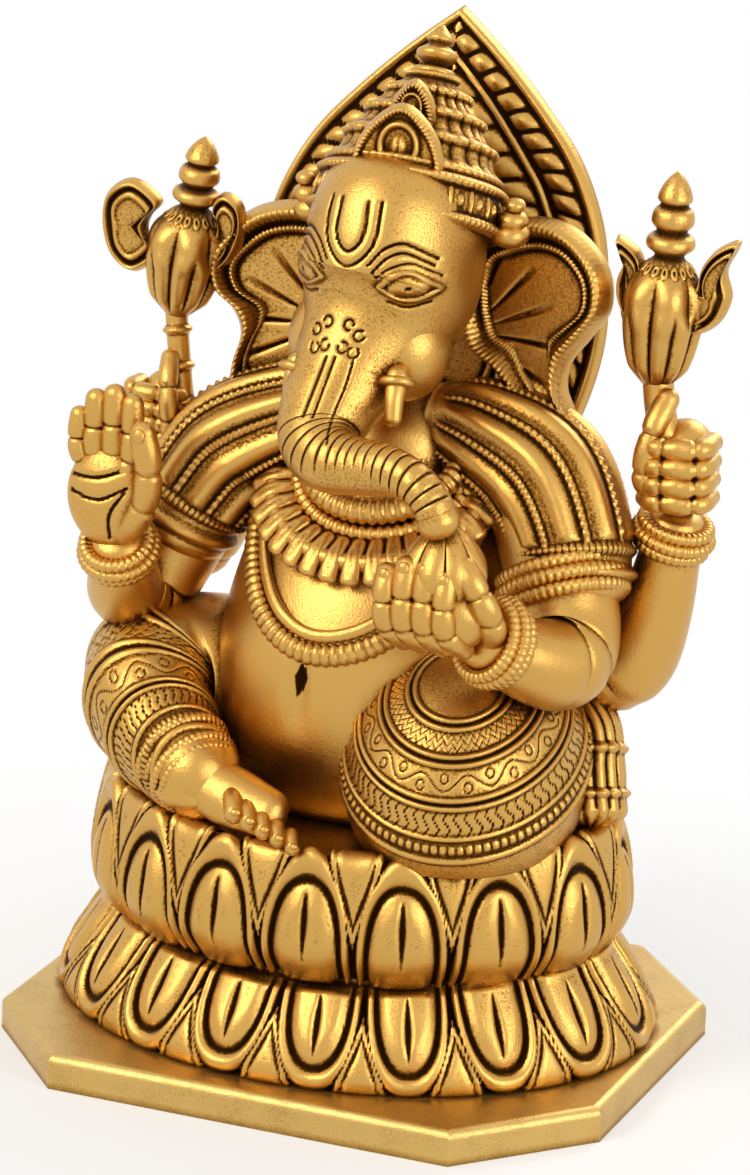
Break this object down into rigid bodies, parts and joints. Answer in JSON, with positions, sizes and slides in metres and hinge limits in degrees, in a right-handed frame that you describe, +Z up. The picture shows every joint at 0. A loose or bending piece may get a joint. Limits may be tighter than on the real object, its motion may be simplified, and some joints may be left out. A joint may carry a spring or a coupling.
{
  "type": "hindu deity statue",
  "caption": "Seated elephant-headed deity in cast brass with four arms, crown and pointed aureole, on a double lotus and an elongated octagonal plinth.",
  "frame": {"origin": "centre of the plinth's underside", "axes": "+Z up; the figure looks along -Y; +X is the figure's own left"},
  "size_m": [0.155, 0.124, 0.2355],
  "materials": {
    "chased_brass": "sand-cast, chased and engraved, high places polished, brown patina in the hollows",
    "filed_brass": "cast plate, filed and brushed, edges rounded",
    "steel": "zinc-bright machine screws and bolts"
  },
  "bodies": {
    "root": {"anklets": "chased_brass", "armlet": "chased_brass", "aureole": "chased_brass", "aureole_pins": "chased_brass", "axe_emblem": "chased_brass", "blessing_bracelet": "chased_brass", "blessing_hand": "chased_brass", "collar": "chased_brass", "crown_band": "chased_brass", "crown_cone": "chased_brass", "crown_finial": "chased_brass", "crown_medallion": "chased_brass", "figure_bolts": "steel", "front_left_arm": "chased_brass", "front_right_arm": "chased_brass", "garland": "chased_brass", "head": "chased_brass", "left_drape": "chased_brass", "left_ear": "chased_brass", "left_ear_knob": "chased_brass", "left_fist": "chased_brass", "left_fist_bracelet": "chased_brass", "left_leg": "chased_brass", "left_shawl": "chased_brass", "left_tusk": "chased_brass", "lotus_lower": "chased_brass", "lotus_upper": "chased_brass", "modak": "chased_brass", "noose_emblem": "chased_brass", "petal_necklace": "chased_brass", "plinth_plate": "filed_brass", "plinth_screws": "steel", "rear_left_arm": "chased_brass", "rear_right_arm": "chased_brass", "right_drape": "chased_brass", "right_ear": "chased_brass", "right_ear_knob": "chased_brass", "right_fist": "chased_brass", "right_fist_bracelet": "chased_brass", "right_foot": "chased_brass", "right_leg": "chased_brass", "right_shawl": "chased_brass", "right_tusk": "chased_brass", "sweet_bracelet": "chased_brass", "sweet_hand": "chased_brass", "torso": "chased_brass"}
  },
  "joints": []
}
